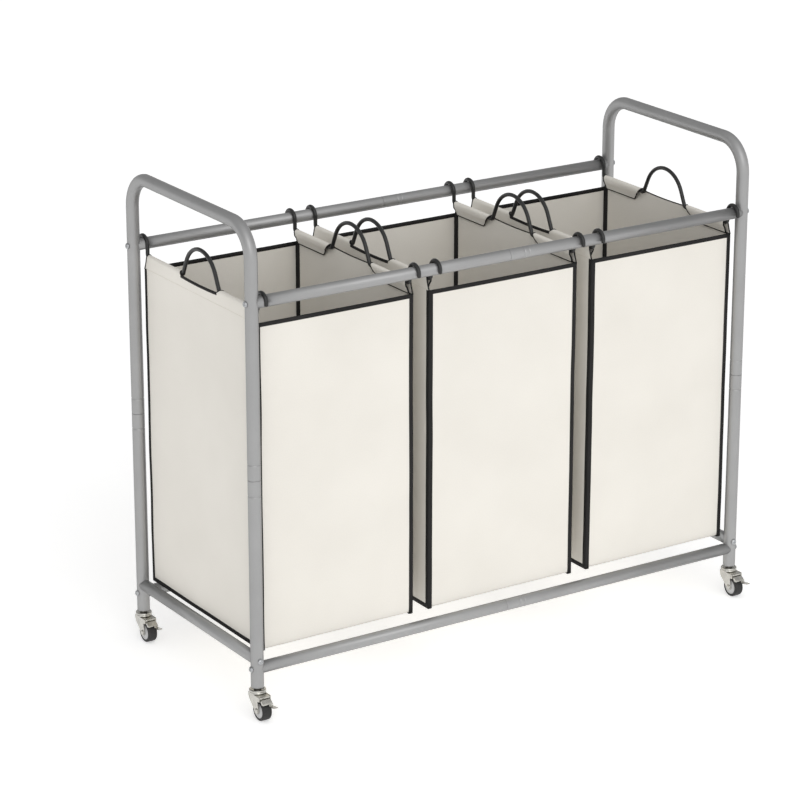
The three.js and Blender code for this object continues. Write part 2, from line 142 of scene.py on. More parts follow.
def weighted_sum(tree, *parts):
    """The sum of parts, each a pair of value and weight."""
    total = None
    for value, weight in parts:
        share = math_node(tree, "MULTIPLY", value, weight)
        total = share if total is None else math_node(tree, "ADD", total, share)
    return total


def noise_node(tree, scale, detail=3.0, roughness=0.55, vector=None):
    """Noise in the object's own space, or over vector where one is given."""
    node = tree.nodes.new("ShaderNodeTexNoise")
    node.inputs["Scale"].default_value = scale
    node.inputs["Detail"].default_value = detail
    node.inputs["Roughness"].default_value = roughness
    if vector is None:
        vector = tree.nodes.new("ShaderNodeTexCoord").outputs["Object"]
    tree.links.new(vector, node.inputs["Vector"])
    return node.outputs["Fac"]


def ramp_node(tree, value, dark, light, low=0.3, high=0.7):
    """A colour ramp from dark to light as value goes from low to high."""
    node = tree.nodes.new("ShaderNodeValToRGB")
    for element, position, colour in zip(node.color_ramp.elements, (low, high), (dark, light)):
        element.position = position
        element.color = (*colour, 1)
    tree.links.new(value, node.inputs["Fac"])
    return node.outputs["Color"]


def map_range(tree, value, low, high):
    node = tree.nodes.new("ShaderNodeMapRange")
    node.inputs["To Min"].default_value = low
    node.inputs["To Max"].default_value = high
    tree.links.new(value, node.inputs["Value"])
    return node.outputs["Result"]


def bump_node(tree, height, distance, strength=1.0, normal=None):
    node = tree.nodes.new("ShaderNodeBump")
    node.inputs["Distance"].default_value = distance
    node.inputs["Strength"].default_value = strength
    tree.links.new(height, node.inputs["Height"])
    if normal is not None:
        tree.links.new(normal, node.inputs["Normal"])
    return node.outputs["Normal"]


def finish_surface(tree, shader, colour, roughness, normal):
    for name, value in (("Base Color", colour), ("Roughness", roughness), ("Normal", normal)):
        tree.links.new(value, shader.inputs[name])


def grey(value):
    return (value, value, value)


def tube_paint():
    """Silver-grey metallic paint: fine flake, soft orange peel, slight wear of gloss."""
    material, tree, shader = node_material("tube_paint")
    shader.inputs["Metallic"].default_value = 0.55
    shader.inputs["Specular Tint"].default_value = (0.5, 0.5, 0.5, 1)
    flake = noise_node(tree, 2600, 2)
    cloud = noise_node(tree, 14, 3)
    mix = weighted_sum(tree, (flake, 0.5), (cloud, 0.5))
    peel = bump_node(tree, noise_node(tree, 420, 2), 0.00006, 0.5)
    finish_surface(tree, shader, ramp_node(tree, mix, grey(0.335), grey(0.395)),
                   map_range(tree, cloud, 0.34, 0.46),
                   bump_node(tree, flake, 0.00002, 0.35, peel))
    return material


def plated(name, dark, light, roughness):
    """Bright plated steel with faint drawing marks and smudges."""
    material, tree, shader = node_material(name)
    shader.inputs["Metallic"].default_value = 1.0
    smudge = noise_node(tree, 90, 4)
    grain = noise_node(tree, 900, 2)
    finish_surface(tree, shader, ramp_node(tree, smudge, dark, light),
                   map_range(tree, smudge, roughness, roughness + 0.14),
                   bump_node(tree, grain, 0.00003, 0.4))
    return material


def rod_coat():
    """Glossy black powder coat with its fine pebbled skin."""
    material, tree, shader = node_material("rod_coat")
    shader.inputs["Specular IOR Level"].default_value = 0.4
    pebble = noise_node(tree, 1300, 2)
    finish_surface(tree, shader, ramp_node(tree, pebble, grey(0.016), grey(0.026)),
                   map_range(tree, noise_node(tree, 60), 0.24, 0.38),
                   bump_node(tree, pebble, 0.00008, 0.5))
    return material


def rubber():
    """Black tread rubber, scuffed and slightly dusty."""
    material, tree, shader = node_material("tread_rubber")
    scuff = noise_node(tree, 260, 5, 0.7)
    colour = ramp_node(tree, scuff, (0.008, 0.008, 0.009), (0.032, 0.031, 0.030), 0.35, 0.75)
    finish_surface(tree, shader, colour, map_range(tree, scuff, 0.5, 0.78),
                   bump_node(tree, scuff, 0.00012, 0.5))
    return material


def hub_plastic():
    """Grey moulded plastic with a soft sheen and mould grain."""
    material, tree, shader = node_material("hub_plastic")
    grain = noise_node(tree, 700, 3)
    finish_surface(tree, shader, ramp_node(tree, grain, grey(0.50), grey(0.58)),
                   map_range(tree, grain, 0.38, 0.5), bump_node(tree, grain, 0.00005, 0.4))
    return material


def weave_height(tree, pitch):
    """Plain weave: threads a pitch apart each way, rising and dipping in turn."""
    uv = tree.nodes.new("ShaderNodeUVMap")
    uv.uv_map = CLOTH_UV
    split = tree.nodes.new("ShaderNodeSeparateXYZ")
    tree.links.new(uv.outputs["UV"], split.inputs["Vector"])
    turn = math.pi / pitch
    warp, weft = (math_node(tree, "SINE", math_node(tree, "MULTIPLY", split.outputs[axis], turn))
                  for axis in ("X", "Y"))
    over = math_node(tree, "MULTIPLY", warp, weft)
    threads = math_node(tree, "ADD", math_node(tree, "ABSOLUTE", warp),
                        math_node(tree, "ABSOLUTE", weft))
    return weighted_sum(tree, (over, 0.5), (threads, 0.25)), uv.outputs["UV"]


def cloth_material(name, dark, light, pitch, depth, sheen, gloss, roughness):
    """Woven cloth: weave relief, slubby thread colour, soft large-scale mottling, and painted shade
    that makes the weave's dips a little darker.
    """
    material, tree, shader = node_material(name)
    shader.inputs["Sheen Weight"].default_value = sheen
    shader.inputs["Sheen Roughness"].default_value = 0.5
    shader.inputs["Specular IOR Level"].default_value = gloss
    height, uv = weave_height(tree, pitch)
    slub = noise_node(tree, 420, 3, 0.6, uv)
    mottle = noise_node(tree, 7, 3, 0.5)
    # Colour mixes slub and mottle tone with a little of the weave's height: painted shade, darker
    # in the dips between threads.
    tone_and_weave_shade = weighted_sum(tree, (slub, 0.35), (mottle, 0.65), (height, 0.06))
    coarse = bump_node(tree, slub, 0.00012, 0.35)
    finish_surface(tree, shader, ramp_node(tree, tone_and_weave_shade, dark, light),
                   map_range(tree, slub, roughness, roughness + 0.1),
                   bump_node(tree, height, depth, 0.6, coarse))
    return material


PAINT = tube_paint()
ZINC = plated("bolt_zinc", (0.38, 0.39, 0.40), (0.52, 0.53, 0.54), roughness=0.22)
NICKEL = plated("caster_nickel", (0.46, 0.45, 0.42), (0.62, 0.61, 0.57), roughness=0.16)
ROD_COAT = rod_coat()
RUBBER = rubber()
HUB = hub_plastic()
CANVAS = cloth_material("cream_canvas", (0.765, 0.735, 0.675), (0.825, 0.795, 0.735),
                        pitch=0.0007, depth=0.00016, sheen=0.1, gloss=0.2, roughness=0.82)
TAPE = cloth_material("black_tape", (0.014, 0.014, 0.014), (0.028, 0.027, 0.027),
                      pitch=0.0006, depth=0.00022, sheen=0.0, gloss=0.12, roughness=0.62)
THREAD = cloth_material("cream_thread", (0.60, 0.56, 0.47), (0.70, 0.66, 0.57),
                        pitch=0.0004, depth=0.0001, sheen=0.0, gloss=0.2, roughness=0.7)


# ---------- mesh building ----------

BEVEL_ANGLE = math.radians(35)


def make_piece(name, verts, faces, material, body, replaced=(), slot=None, smooth=True):
    """A mesh object that rides on a body, and may stand for CAD nodes."""
    mesh = bpy.data.meshes.new(name)
    mesh.from_pydata([tuple(v) for v in verts], [], faces)
    mesh.validate()
    for polygon in mesh.polygons:
        polygon.use_smooth = smooth
    mesh.materials.append(material)
    piece = bpy.data.objects.new(name, mesh)
    bpy.context.scene.collection.objects.link(piece)
    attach(piece, body)
    if replaced:
        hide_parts(*replaced)
    return piece


def add_modifier(piece, kind, **settings):
    modifier = piece.modifiers.new(kind.lower(), kind)
    for key, value in settings.items():
        setattr(modifier, key, value)


def bevelled(piece, width, segments=2):
    add_modifier(piece, "BEVEL", width=width, segments=segments, limit_method="ANGLE",
                 angle_limit=BEVEL_ANGLE, harden_normals=True)


def set_cloth_uv(piece, place_of):
    """Gives a cloth or tape piece its flat places. place_of is called with a vertex index."""
    layer = piece.data.uv_layers.new(name=CLOTH_UV)
    for loop in piece.data.loops:
        layer.data[loop.index].uv = place_of(loop.vertex_index)


def round_section(radius, sides):
    angles = [2 * math.pi * i / sides for i in range(sides)]
    return [(radius * math.cos(angle), radius * math.sin(angle)) for angle in angles]


def path_tangents(points):
    tangents = []
    for index, point in enumerate(points):
        before = points[max(index - 1, 0)]
        after = points[min(index + 1, len(points) - 1)]
        into = (point - before).normalized() if index else (after - point).normalized()
        out = (after - point).normalized() if index < len(points) - 1 else into
        tangents.append((into + out).normalized())
    return tangents


def sweep(points, sections, side, joined=None):
    """Vertices and faces of closed sections carried along points. side is the sections' first
    axis, one vector or one for each point. The ends are closed by one face each."""
    verts, faces = joined if joined else ([], [])
    tangents = path_tangents(points)
    start = len(verts)
    count = len(sections[0])
    for index, (point, tangent, section) in enumerate(zip(points, tangents, sections)):
        first = side[index] if isinstance(side, list) else side
        second = tangent.cross(first).normalized()
        verts.extend(point + first * a + second * b for a, b in section)
    for ring in range(len(points) - 1):
        low = start + ring * count
        for i in range(count):
            j = (i + 1) % count
            faces.append((low + i, low + j, low + count + j, low + count + i))
    last = start + (len(points) - 1) * count
    faces.append(tuple(start + i for i in reversed(range(count))))
    faces.append(tuple(last + i for i in range(count)))
    return verts, faces


def lathe(profile, sides, axis=Z, origin=Vector((0, 0, 0)), joined=None):
    """A turned solid about axis through origin. profile is (radius, height) from end to end,
    and both ends are closed."""
    verts, faces = joined if joined else ([], [])
    first = Y if abs(axis.dot(X)) > 0.5 else X
    second = axis.cross(first)
    start = len(verts)
    for radius, height in profile:
        for i in range(sides):
            angle = 2 * math.pi * i / sides
            spoke = first * math.cos(angle) + second * math.sin(angle)
            verts.append(origin + axis * height + spoke * radius)
    for ring in range(len(profile) - 1):
        low = start + ring * sides
        for i in range(sides):
            j = (i + 1) % sides
            faces.append((low + i, low + j, low + sides + j, low + sides + i))
    last = start + (len(profile) - 1) * sides
    faces.append(tuple(start + i for i in reversed(range(sides))))
    faces.append(tuple(last + i for i in range(sides)))
    return verts, faces


def plate(outline, low, high, axis=X, joined=None):
    """A flat outline given thickness along axis. For X the outline is (y, z), for Z (x, y)."""
    verts, faces = joined if joined else ([], [])
    start = len(verts)
    count = len(outline)
    for level in (low, high):
        for a, b in outline:
            verts.append(Vector((level, a, b)) if axis == X else Vector((a, b, level)))
    faces.append(tuple(start + i for i in reversed(range(count))))
    faces.append(tuple(start + count + i for i in range(count)))
    for i in range(count):
        j = (i + 1) % count
        faces.append((start + i, start + j, start + count + j, start + count + i))
    return verts, faces


def arc_points(centre, radius, start, end, steps):
    """Points along an arc in the Y-Z plane, without the first one. Angles are in degrees."""
    made = []
    for step in range(1, steps + 1):
        angle = math.radians(start + (end - start) * step / steps)
        made.append(centre + Y * (radius * math.cos(angle)) + Z * (radius * math.sin(angle)))
    return made


# ---------- frame tubes ----------

TUBE_SIDES = 40
BEND_STEPS = 18
END_ROUND = 0.0006
SEAT_GAP = 0.0001
LEG_GAP = 0.0002
RAIL_GROOVES = (0.0285, 0.0375)
GROOVE_SHAPE = ((-1.6, 0), (-1, 0), (-0.5, 0.7), (0, 1), (0.5, 0.7), (1, 0), (1.6, 0))


def ring_profile(start, end, grooves=(), plain_end=False):
    """Distances and radius changes along a tube, with rolled grooves. Both ends are rounded,
    or only the first with a plain end."""
    profile = [(start, -END_ROUND), (start + END_ROUND, 0), (start + 3 * END_ROUND, 0)]
    for centre in sorted(grooves):
        for share, depth in GROOVE_SHAPE:
            profile.append((centre + share * RING_HALF_WIDTH, -depth * RING_DEPTH))
    if plain_end:
        return profile + [(end, 0)]
    return profile + [(end - 3 * END_ROUND, 0), (end - END_ROUND, 0), (end, -END_ROUND)]


def straight_tube(name, origin, axis, side, radius, profile, coped, replaced):
    """A tube from a profile of (distance, radius change). coped ends fit round the leg."""
    points = [origin + axis * distance for distance, _ in profile]
    sections = [round_section(radius + change, TUBE_SIDES) for _, change in profile]
    verts, faces = sweep(points, sections, side)
    fit = LEG_RADIUS + SEAT_GAP
    for end in coped:
        ring = 0 if end < 0 else len(profile) - 1
        for i in range(TUBE_SIDES):
            vert = verts[ring * TUBE_SIDES + i]
            across = (vert - origin).dot(side)
            vert -= axis * end * math.sqrt(fit * fit - across * across)
    make_piece(name, verts, faces, PAINT, "frame", [replaced], "tube_paint")


def build_handle(end_name, x):
    """The upper tube: uprights, bends and push bar in one, grooved near its lower ends."""
    bend = HANDLE_BEND
    corner_y = HALF_Y - bend
    corner_z = HANDLE_Z - bend
    base = Vector((x, CENTRE_Y, 0))
    upright = ring_profile(LEG_JOINT_Z, corner_z, [LEG_JOINT_Z + RING_STEP], plain_end=True)
    points = [base + Vector((0, -HALF_Y, z)) for z, _ in upright]
    points += arc_points(base + Vector((0, -corner_y, corner_z)), bend, 180, 90, BEND_STEPS)
    points += arc_points(base + Vector((0, corner_y, corner_z)), bend, 90.001, 0, BEND_STEPS)
    points += [base + Vector((0, HALF_Y, z)) for z, _ in reversed(upright[:-1])]
    changes = [change for _, change in upright]
    changes += [0] * (2 * BEND_STEPS) + changes[-2::-1]
    sections = [round_section(LEG_RADIUS + change, TUBE_SIDES) for change in changes]
    verts, faces = sweep(points, sections, X)
    make_piece(f"handle_{end_name}", verts, faces, PAINT, "frame", [f"handle_tube_{end_name}"],
               "tube_paint")


def build_frame():
    for end_name, end in ENDS:
        build_handle(end_name, end * HALF_X)
        origin = Vector((end * HALF_X, CENTRE_Y, SIDE_RAIL_Z))
        straight_tube(f"side_rail_tube_{end_name}", origin, Y, X, RAIL_RADIUS,
                      [(-HALF_Y, 0), (HALF_Y, 0)], (-1, 1), f"side_rail_{end_name}")
    leg_profile = ring_profile(LEG_BOTTOM_Z, LEG_JOINT_Z - LEG_GAP, [LEG_JOINT_Z - RING_STEP])
    for corner, end, side, place in corners():
        straight_tube(f"leg_{corner}", place, Z, X, LEG_RADIUS, leg_profile, (),
                      f"lower_leg_{corner}")
        for rail, z in (("top_rail", TOP_RAIL_Z), ("bottom_rail", LONG_RAIL_Z)):
            grooves = RAIL_GROOVES if end > 0 else ()
            profile = ring_profile(SEAT_GAP, HALF_X, grooves, plain_end=True)
            straight_tube(f"{rail}_tube_{corner}", Vector((0, place.y, z)), X * end, Y,
                          RAIL_RADIUS, profile, (1,), f"{rail}_{corner}")


# ---------- bolts ----------

BOLT_HEAD_RADIUS = 0.0052
BOLT_HEAD_HEIGHT = 0.0039
CROSS_ARM = 0.0007
CROSS_REACH = 0.0030
CROSS_DEPTH = 0.0015
CROSS_WALL = 0.0003
CROSS_SLOPE = 0.0009
SHANK_RADIUS = 0.003
HEAD_RIM = 0.0008
HEAD_RINGS = 16
HEAD_SIDES = 48


def bolt_head(seat, axis):
    """A domed head with a cross recess, standing on its seat."""
    profile = [(SHANK_RADIUS, -0.001), (SHANK_RADIUS, 0), (BOLT_HEAD_RADIUS, 0),
               (BOLT_HEAD_RADIUS + 0.0001, 0.0005)]
    below_dome = len(profile)
    for i in range(HEAD_RINGS):
        angle = math.radians(90) * (i + 0.4) / HEAD_RINGS
        height = HEAD_RIM + (BOLT_HEAD_HEIGHT - HEAD_RIM) * math.sin(angle)
        profile.append((BOLT_HEAD_RADIUS * math.cos(angle), height))
    verts, faces = lathe(profile, HEAD_SIDES, axis, seat)
    up = Z if abs(axis.z) < 0.5 else X
    across = axis.cross(up)
    for vert in verts[below_dome * HEAD_SIDES:]:
        spoke = vert - seat
        u, v = abs(spoke.dot(up)), abs(spoke.dot(across))
        inside = max(0, min(1, (CROSS_ARM - min(u, v)) / CROSS_WALL + 0.5))
        reach = max(0, min(1, (CROSS_REACH - max(u, v)) / CROSS_SLOPE))
        vert -= axis * (CROSS_DEPTH * inside * reach)
    return verts, faces


def build_bolts():
    seat = LEG_RADIUS + SEAT_GAP
    for corner, end, side, leg in corners():
        places = (
            ("top_bolt", leg + X * (end * seat) + Z * TOP_RAIL_Z, X * end),
            ("long_bolt", leg + X * (end * seat) + Z * LONG_RAIL_Z, X * end),
            ("side_bolt", leg + Y * (side * seat) + Z * SIDE_RAIL_Z, Y * side),
        )
        for bolt, place, axis in places:
            make_piece(f"{bolt}_head_{corner}", *bolt_head(place, axis), ZINC, "frame",
                       [f"{bolt}_{corner}"], "bolt_steel")


# ---------- casters ----------

CROWN_LOW, CROWN_HIGH = 0.0409, 0.0441
FORK_OUTER = FORK_INNER + FORK_PLATE
STEM_NUT_LOW = 0.0489
STEM_NUT_RADIUS = 0.0072
AXLE_NUT_RADIUS = 0.0042
BRAKE_PIVOT = Vector((0, -0.0210, 0.0385))
PEDAL_HALF_WIDTH = 0.0092
TAB_INNER = 0.0017


def hexagon(radius):
    return round_section(radius, 6)


def moved(made, offset):
    verts, faces = made
    return [vert + offset for vert in verts], faces


def yz(points):
    return [(point.y, point.z) for point in points]


def caster_stem():
    """The riveted collar that the fork turns on."""
    top = LEG_BOTTOM_Z + 0.004
    return lathe([(0.0001, 0.0377), (0.0050, 0.0377), (0.0066, 0.0385), (0.0070, 0.0399),
                  (0.0045, 0.0405), (0.0045, 0.0485), (0.0040, 0.0489), (0.0040, top),
                  (0.0001, top)], 32)


def swivel_cap():
    """The raceway cup: rolled rim, a ball groove and a dished top."""
    top = CAP_TOP_Z
    return lathe([(0.0049, CROWN_HIGH), (0.0125, CROWN_HIGH), (0.0138, 0.0446),
                  (0.0145, 0.0456), (0.0145, 0.0468), (0.0139, 0.0473), (0.0139, 0.0478),
                  (0.0144, 0.0483), (0.0143, top - 0.0011), (0.0134, top - 0.0002),
                  (0.0122, top), (0.0108, top - 0.0004), (0.0098, top - 0.0016),
                  (0.0090, top - 0.0027), (0.0060, top - 0.0030), (0.0049, top - 0.0030)], 64)


def crown_outline():
    """The fork's crown in (x, y), with cut corners."""
    front = [(-FORK_INNER, -0.0235), (-0.0080, -0.0250), (0.0080, -0.0250), (FORK_INNER, -0.0235)]
    rear = [(FORK_INNER, 0.0105), (0.0080, 0.0120), (-0.0080, 0.0120), (-FORK_INNER, 0.0105)]
    return front + rear


def fork_outline():
    """The side plate in (y, z): broad under the crown, round about the axle."""
    boss = arc_points(Vector((0, AXLE_Y, WHEEL_RADIUS)), 0.0060, 176, 338, 16)
    upper = [(0.0120, CROWN_HIGH - 0.0005), (0.0100, CROWN_HIGH), (-0.0235, CROWN_HIGH),
             (-0.0242, CROWN_HIGH - 0.0010), (-0.0242, 0.0367), (-0.0236, 0.0361),
             (-0.0190, 0.0361), (-0.0182, 0.0345)]
    return upper + yz(boss) + [(0.0085, 0.0325), (0.0112, 0.0385)]


def wheel_tyre():
    """The tyre: a flat tread with rounded shoulders."""
    half, radius, bend, bore = WHEEL_HALF_WIDTH, WHEEL_RADIUS, 0.0022, 0.0132
    right = [(bore, half - 0.0004), (0.0140, half)]
    for degrees in range(0, 91, 15):
        angle = math.radians(degrees)
        right.append((radius - bend + bend * math.sin(angle), half - bend + bend * math.cos(angle)))
    outer = [(r, -h) for r, h in right] + [(radius, 0)] + [(r, h) for r, h in reversed(right)]
    return lathe([(bore, -half + 0.0015)] + outer + [(bore, half - 0.0015)], 72, X)


def wheel_hub():
    """The hub: a rim, a sunk web and a boss round the axle."""
    half = WHEEL_HALF_WIDTH
    face = [(0.0030, half - 0.0002), (0.0056, half - 0.0002), (0.0060, half - 0.0006),
            (0.0062, half - 0.0009), (0.0112, half - 0.0010), (0.0116, half - 0.0006),
            (0.0121, half - 0.0004), (0.0133, half - 0.0004)]
    return lathe([(r, -h) for r, h in face] + [(r, h) for r, h in reversed(face)], 60, X)


def axle_head():
    """A domed head on the left of the fork."""
    seat = Vector((-FORK_OUTER - SEAT_GAP, 0, 0))
    return lathe([(0.0046, 0), (0.0046, 0.0006), (0.0040, 0.0016), (0.0026, 0.0023),
                  (0.0001, 0.0025)], 36, -X, seat)


def axle_nut():
    """A washer, nut and bolt end on the right of the fork."""
    out = FORK_OUTER + SEAT_GAP
    seat = Vector((out, 0, 0))
    washer = lathe([(0.0048, 0), (0.0048, 0.0006), (0.0001, 0.0006)], 36, X, seat)
    bolt_end = lathe([(0.0021, 0.0036), (0.0021, 0.0052), (0.0017, 0.0056), (0.0001, 0.0056)],
                     24, X, seat, washer)
    return plate(hexagon(AXLE_NUT_RADIUS), out + 0.0006, out + 0.0040, X, bolt_end)


def pedal_outline():
    """The brake pedal in (y, z): from its pivot over the tread to its lip."""
    barrel = arc_points(BRAKE_PIVOT, 0.0016, 110, -70, 8)
    under = [(-0.0262, 0.0355), (-0.0276, 0.0327), (-0.0296, 0.0320), (-0.0334, 0.0328)]
    over = [(-0.0338, 0.0342), (-0.0325, 0.0356), (-0.0262, 0.0399), (-0.0240, 0.0402)]
    return yz(barrel) + under + over


def tab_outline():
    """The toe tab in (y, z): down from the pedal's lip, then out and a little up."""
    return [(-0.0330, 0.0345), (-0.0330, 0.0326), (-0.0335, 0.0286), (-0.0346, 0.0281),
            (-0.0400, 0.0297), (TAB_TIP_Y + 0.0006, 0.0315), (TAB_TIP_Y, 0.0324),
            (TAB_TIP_Y + 0.0004, 0.0335), (-0.0398, 0.0318), (-0.0358, 0.0307),
            (-0.0350, 0.0312), (-0.0347, 0.0335)]


def nickel_piece(name, made, body, replaced=(), bevel=None, segments=2):
    """A nickel-plated piece, smooth all over or flat with bevelled edges."""
    piece = make_piece(name, *made, NICKEL, body, replaced, "caster_nickel", smooth=bevel is None)
    if bevel is not None:
        bevelled(piece, bevel, segments)


def build_caster(corner, place):
    """All of one caster, at its leg's axis."""
    axle = place + Vector((0, AXLE_Y, WHEEL_RADIUS))
    swivel, wheel, brake = f"caster_{corner}", f"wheel_{corner}", f"brake_{corner}"
    nickel_piece(f"stem_{corner}", moved(caster_stem(), place), "frame",
                 [f"caster_stem_{corner}"])
    nut = plate(hexagon(STEM_NUT_RADIUS), STEM_NUT_LOW, LEG_BOTTOM_Z - LEG_GAP, Z)
    nickel_piece(f"stem_nut_{corner}", moved(nut, place), "frame", (), 0.0005)
    nickel_piece(f"swivel_cap_{corner}", moved(swivel_cap(), place), swivel,
                 [f"caster_fork_{corner}"])
    crown = plate(crown_outline(), CROWN_LOW, CROWN_HIGH, Z)
    nickel_piece(f"fork_crown_{corner}", moved(crown, place), swivel, (), 0.0009, 3)
    for name, low in (("left", -FORK_OUTER), ("right", FORK_INNER)):
        cheek = plate(fork_outline(), low, low + FORK_PLATE)
        nickel_piece(f"fork_cheek_{name}_{corner}", moved(cheek, place), swivel, (), 0.0006, 3)
    nickel_piece(f"axle_head_{corner}", moved(axle_head(), axle), swivel,
                 [f"wheel_axle_{corner}"])
    nickel_piece(f"axle_nut_{corner}", moved(axle_nut(), axle), swivel, (), 0.0003)
    make_piece(f"tyre_{corner}", *moved(wheel_tyre(), axle), RUBBER, wheel, [f"wheel_{corner}"],
               "wheel_tyre")
    make_piece(f"hub_{corner}", *moved(wheel_hub(), axle), HUB, wheel)
    pedal = plate(pedal_outline(), -PEDAL_HALF_WIDTH, PEDAL_HALF_WIDTH)
    nickel_piece(f"brake_pedal_{corner}", moved(pedal, place), brake,
                 [f"brake_lever_{corner}"], 0.0004, 3)
    tab = plate(tab_outline(), TAB_INNER, PEDAL_HALF_WIDTH)
    nickel_piece(f"brake_tab_{corner}", moved(tab, place), brake, (), 0.0004, 3)


def build_casters():
    for corner, _, _, place in corners():
        build_caster(corner, place)


# ---------- bag rods ----------

ROD_SIDES = 16
HOOK_GAP = 0.0003
ROD_TIP = ((0.0016, 0.0012), (0.0008, 0.0023))


def rod_points(x):
    """The wire from hook to hook: riser, straight run, then a round arch on two splayed legs."""
    hook = RAIL_RADIUS + ROD_RADIUS + HOOK_GAP
    riser = HALF_Y - hook
    bend_z = ROD_Z + ROD_BEND
    arch_z = ARCH_TOP_Z - ARCH_RADIUS
    splay = math.degrees(ARCH_SPLAY)
    shoulder_y = ARCH_RADIUS * math.cos(ARCH_SPLAY)
    shoulder_z = arch_z + ARCH_RADIUS * math.sin(ARCH_SPLAY)
    foot_y = shoulder_y + (shoulder_z - ROD_Z) * math.tan(ARCH_SPLAY)
    run_end = foot_y + ROD_BEND * math.tan((math.pi / 2 - ARCH_SPLAY) / 2)
    base = Vector((x, CENTRE_Y, 0))

    def at(y, z):
        return base + Vector((0, y, z))

    half = [at(-HALF_Y - hook, TOP_RAIL_Z - HOOK_TIP_DROP), at(-HALF_Y - hook, TOP_RAIL_Z)]
    half += arc_points(at(-HALF_Y, TOP_RAIL_Z), hook, 180, 0, BEND_STEPS)
    half.append(at(-riser, bend_z))
    half += arc_points(at(-riser + ROD_BEND, bend_z), ROD_BEND, 180, 270, 6)
    half.append(at(-run_end, ROD_Z))
    half += arc_points(at(-run_end, bend_z), ROD_BEND, -90, -splay, 6)
    half.append(at(-shoulder_y, shoulder_z))
    half += arc_points(at(0, arch_z), ARCH_RADIUS, 180 - splay, 90, 16)
    mirrored = [Vector((p.x, 2 * CENTRE_Y - p.y, p.z)) for p in reversed(half[:-1])]
    return half + mirrored


def build_rod(bag, end_name, x):
    points = rod_points(x)
    tip = (points[1] - points[0]).normalized()
    tail = (points[-1] - points[-2]).normalized()
    closed = [points[0] - tip * reach for reach, _ in ROD_TIP] + points
    closed += [points[-1] + tail * reach for reach, _ in reversed(ROD_TIP)]
    rounded = [radius for _, radius in ROD_TIP]
    radii = rounded + [ROD_RADIUS] * len(points) + rounded[::-1]
    sections = [round_section(radius, ROD_SIDES) for radius in radii]
    verts, faces = sweep(closed, sections, X)
    make_piece(f"rod_{bag}_{end_name}", verts, faces, ROD_COAT, f"bag_{bag}",
               [f"bag_{bag}_rod_{end_name}"], "rod_wire")


# ---------- bag cloth ----------

SIDE_INSET = 0.0008
FRONT_INSET = 0.0010
BOTTOM_INSET = 0.0012
HALF_WIDTH = FABRIC_HIGH.x - SIDE_INSET
HALF_DEPTH = (FABRIC_HIGH.y - FABRIC_LOW.y) / 2 - FRONT_INSET
BOTTOM_Z = FABRIC_LOW.z + BOTTOM_INSET
PANEL_TOP_Z = 0.6759
HEM_Z = 0.6750
SLEEVE_TOP_END = 0.1765
SLEEVE_HEM_END = 0.1750
NOTCH_END = 0.0590
LOOP_END = 0.0655
FLAP_HEM_END = 0.0900
NOTCH_FLOOR_Z = 0.6940
SLEEVE_LOOP = 0.0046
SLEEVE_RISE_Z = ROD_Z + 0.0004
SLEEVE_ROWS = (0, 0.33, 0.67, 1)
LOOP_STEPS = 8
SAME_PLACE = 0.00005


def steps_between(low, high, cell=CELL):
    count = max(1, round((high - low) / cell))
    return [low + (high - low) * i / count for i in range(count + 1)]


class ClothSheet:
    """A cut of cloth as a grid, with a flat pattern place for every vertex."""

    def __init__(self):
        self.verts, self.faces, self.flat = [], [], []
        self.keys = {}

    def vertex(self, position, pattern):
        key = tuple(round(c / SAME_PLACE) for c in position)
        if key not in self.keys:
            self.keys[key] = len(self.verts)
            self.verts.append(Vector(position))
            self.flat.append(Vector(pattern))
        return self.keys[key]

    def grid(self, rows, patterns):
        """Adds rows of places, each with its row of flat places."""
        indices = [[self.vertex(p, q) for p, q in zip(row, pattern)]
                   for row, pattern in zip(rows, patterns)]
        for upper, lower in zip(indices, indices[1:]):
            for i in range(len(upper) - 1):
                self.faces.append((upper[i], upper[i + 1], lower[i + 1], lower[i]))

    def area(self):
        """The area of the flat cut."""
        total = 0.0
        for face in self.faces:
            a, b, c, d = (self.flat[i] for i in face)
            total += abs((c - a).cross(d - b)) / 2
        return total


def band_path():
    """The band's way round the bag: down the front, under the floor, up the rear."""
    front = [(-HALF_DEPTH, z) for z in reversed(steps_between(BOTTOM_Z, PANEL_TOP_Z))]
    floor = [(y, BOTTOM_Z) for y in steps_between(-HALF_DEPTH, HALF_DEPTH)[1:-1]]
    rear = [(HALF_DEPTH, z) for z in steps_between(BOTTOM_Z, PANEL_TOP_Z)]
    return front + floor + rear


def run_lengths(places):
    """How far along a section each of its points lies."""
    total, made = 0.0, [0.0]
    for before, after in zip(places, places[1:]):
        total += math.hypot(after[0] - before[0], after[1] - before[1])
        made.append(total)
    return made


def band_sheet():
    """Front, floor and rear of the bag in one length of cloth."""
    sheet = ClothSheet()
    columns = steps_between(-HALF_WIDTH, HALF_WIDTH)
    path = band_path()
    rows = [[(x, y, z) for x in columns] for y, z in path]
    sheet.grid(rows, [[(x, run) for x in columns] for run in run_lengths(path)])
    return sheet


def notch_height(y):
    """The height of the side panel's edge within the notch."""
    share = min(1.0, abs(y) / NOTCH_END)
    return NOTCH_FLOOR_Z + (SLEEVE_RISE_Z - NOTCH_FLOOR_Z) * share ** 2


def sleeve_profile():
    """The sleeve's section as (inward, z): up the outside, over the rod, down to the hem."""
    loop = arc_points(Vector((0, SLEEVE_LOOP, SLEEVE_RISE_Z)), SLEEVE_LOOP, 180, 0, LOOP_STEPS)
    rise = [(0, HEM_Z + (SLEEVE_RISE_Z - HEM_Z) * share) for share in SLEEVE_ROWS]
    fall = [(2 * SLEEVE_LOOP - 0.0006, ROD_Z - 0.006), (0.0058, HEM_Z + 0.010),
            (0.0034, HEM_Z + 0.0035), (0.0026, HEM_Z)]
    return rise + yz(loop) + fall


